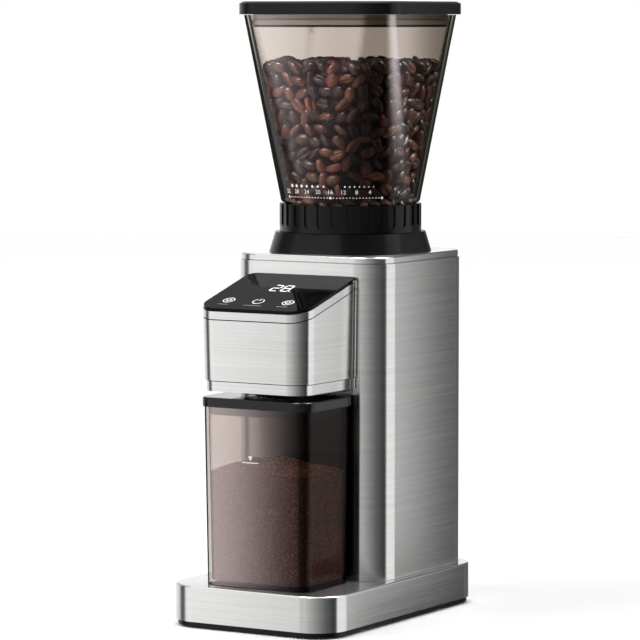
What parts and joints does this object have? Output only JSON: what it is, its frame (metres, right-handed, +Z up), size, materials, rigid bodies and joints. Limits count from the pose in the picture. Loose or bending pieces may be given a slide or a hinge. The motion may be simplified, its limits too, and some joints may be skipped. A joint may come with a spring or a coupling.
{
  "type": "burr coffee grinder",
  "caption": "Electric burr coffee grinder: brushed steel column and head, square clear hopper over a fluted setting ring, and a clear grounds container under the spout.",
  "frame": {"origin": "on the floor under the middle of the base", "axes": "+Z up, the control panel faces -Y, +X to the right seen from the front"},
  "size_m": [0.12, 0.19, 0.3858],
  "materials": {
    "brushed_steel": "horizontally brushed stainless steel",
    "black_plastic": "satin black moulding",
    "panel_glass": "glossy black glass",
    "smoky_clear": "smoky clear plastic",
    "rubber": "black rubber",
    "coffee_beans": "oily roasted beans",
    "ground_coffee": "loose medium grounds",
    "inner_plastic": "black moulding",
    "die_cast": "die cast",
    "burr_steel": "hardened steel",
    "bright_steel": "ground steel",
    "gear_plastic": "natural acetal",
    "brass": "machined brass",
    "motor_steel": "plated steel",
    "circuit_board": "green board"
  },
  "bodies": {
    "body": {"base_tray": "brushed_steel", "column_shell": "brushed_steel", "column_cap": "brushed_steel", "head_shell": "brushed_steel", "head_top_trim": "brushed_steel", "head_bottom_trim": "brushed_steel", "base_plate": "black_plastic", "hopper_collar": "black_plastic", "head_underside": "black_plastic", "spout": "black_plastic", "cord_gland": "black_plastic", "control_panel": "panel_glass", "rubber_feet": "rubber", "shaft_seal": "rubber", "chute": "inner_plastic", "chassis": "inner_plastic", "gearbox_cover": "inner_plastic", "grind_chamber": "die_cast", "idler_pin": "bright_steel", "upper_bearing": "bright_steel", "lower_bearing": "bright_steel", "base_plate_screws": "bright_steel", "chamber_screws": "bright_steel", "gearbox_screws": "bright_steel", "motor_screws": "bright_steel", "motor_can": "motor_steel", "motor_end_cap": "motor_steel", "motor_magnets": "motor_steel", "touch_board": "circuit_board", "power_board": "circuit_board", "display_module": "circuit_board"},
    "rotor": {"motor_shaft": "bright_steel", "armature": "motor_steel", "motor_pinion": "brass"},
    "idler": {"idler_gear": "gear_plastic"},
    "burr_drive": {"drive_shaft": "bright_steel", "output_gear": "gear_plastic", "sweeper": "bright_steel", "inner_burr": "burr_steel", "burr_screw": "bright_steel"},
    "adjust_ring": {"adjustment_ring": "black_plastic"},
    "carrier": {"burr_carrier": "die_cast", "outer_burr": "burr_steel", "burr_retainer": "burr_steel", "retainer_screws": "bright_steel"},
    "hopper": {"hopper": "smoky_clear", "bean_fill": "coffee_beans"},
    "hopper_lid": {"hopper_lid": "black_plastic", "lid_seal": "rubber"},
    "grounds_bin": {"grounds_container": "smoky_clear", "container_lid": "black_plastic", "ground_coffee": "ground_coffee"}
  },
  "joints": [
    {"name": "burr_spin", "type": "hinge", "parent": "body", "child": "burr_drive", "pos_m": [0, 0.0315, 0.2], "axis": [0, 0, 1], "continuous": true},
    {"name": "idler_spin", "type": "hinge", "parent": "body", "child": "idler", "pos_m": [0.02121, 0.05271, 0.12], "axis": [0, 0, 1], "continuous": true},
    {"name": "motor_spin", "type": "hinge", "parent": "body", "child": "rotor", "pos_m": [0, 0.0315, 0.08], "axis": [0, 0, 1], "continuous": true},
    {"name": "ring_turn", "type": "hinge", "parent": "body", "child": "adjust_ring", "pos_m": [0, 0.0315, 0.25], "axis": [0, 0, 1], "range_deg": [-42, 42]},
    {"name": "carrier_travel", "type": "slide", "parent": "adjust_ring", "child": "carrier", "axis": [0, 0, 1], "range_m": [-0.00072, 0.00072]},
    {"name": "hopper_lift", "type": "slide", "parent": "body", "child": "hopper", "axis": [0, 0, 1], "range_m": [0, 0.06]},
    {"name": "lid_lift", "type": "slide", "parent": "hopper", "child": "hopper_lid", "axis": [0, 0, 1], "range_m": [0, 0.045]},
    {"name": "bin_slide", "type": "slide", "parent": "body", "child": "grounds_bin", "axis": [0, -1, 0], "range_m": [0, 0.08]}
  ],
  "couplings": [
    {"joint": "idler_spin", "follows": "motor_spin", "ratio": -0.25},
    {"joint": "burr_spin", "follows": "motor_spin", "ratio": 0.083333},
    {"joint": "carrier_travel", "follows": "ring_turn", "m_per_rad": 0.00095493}
  ]
}
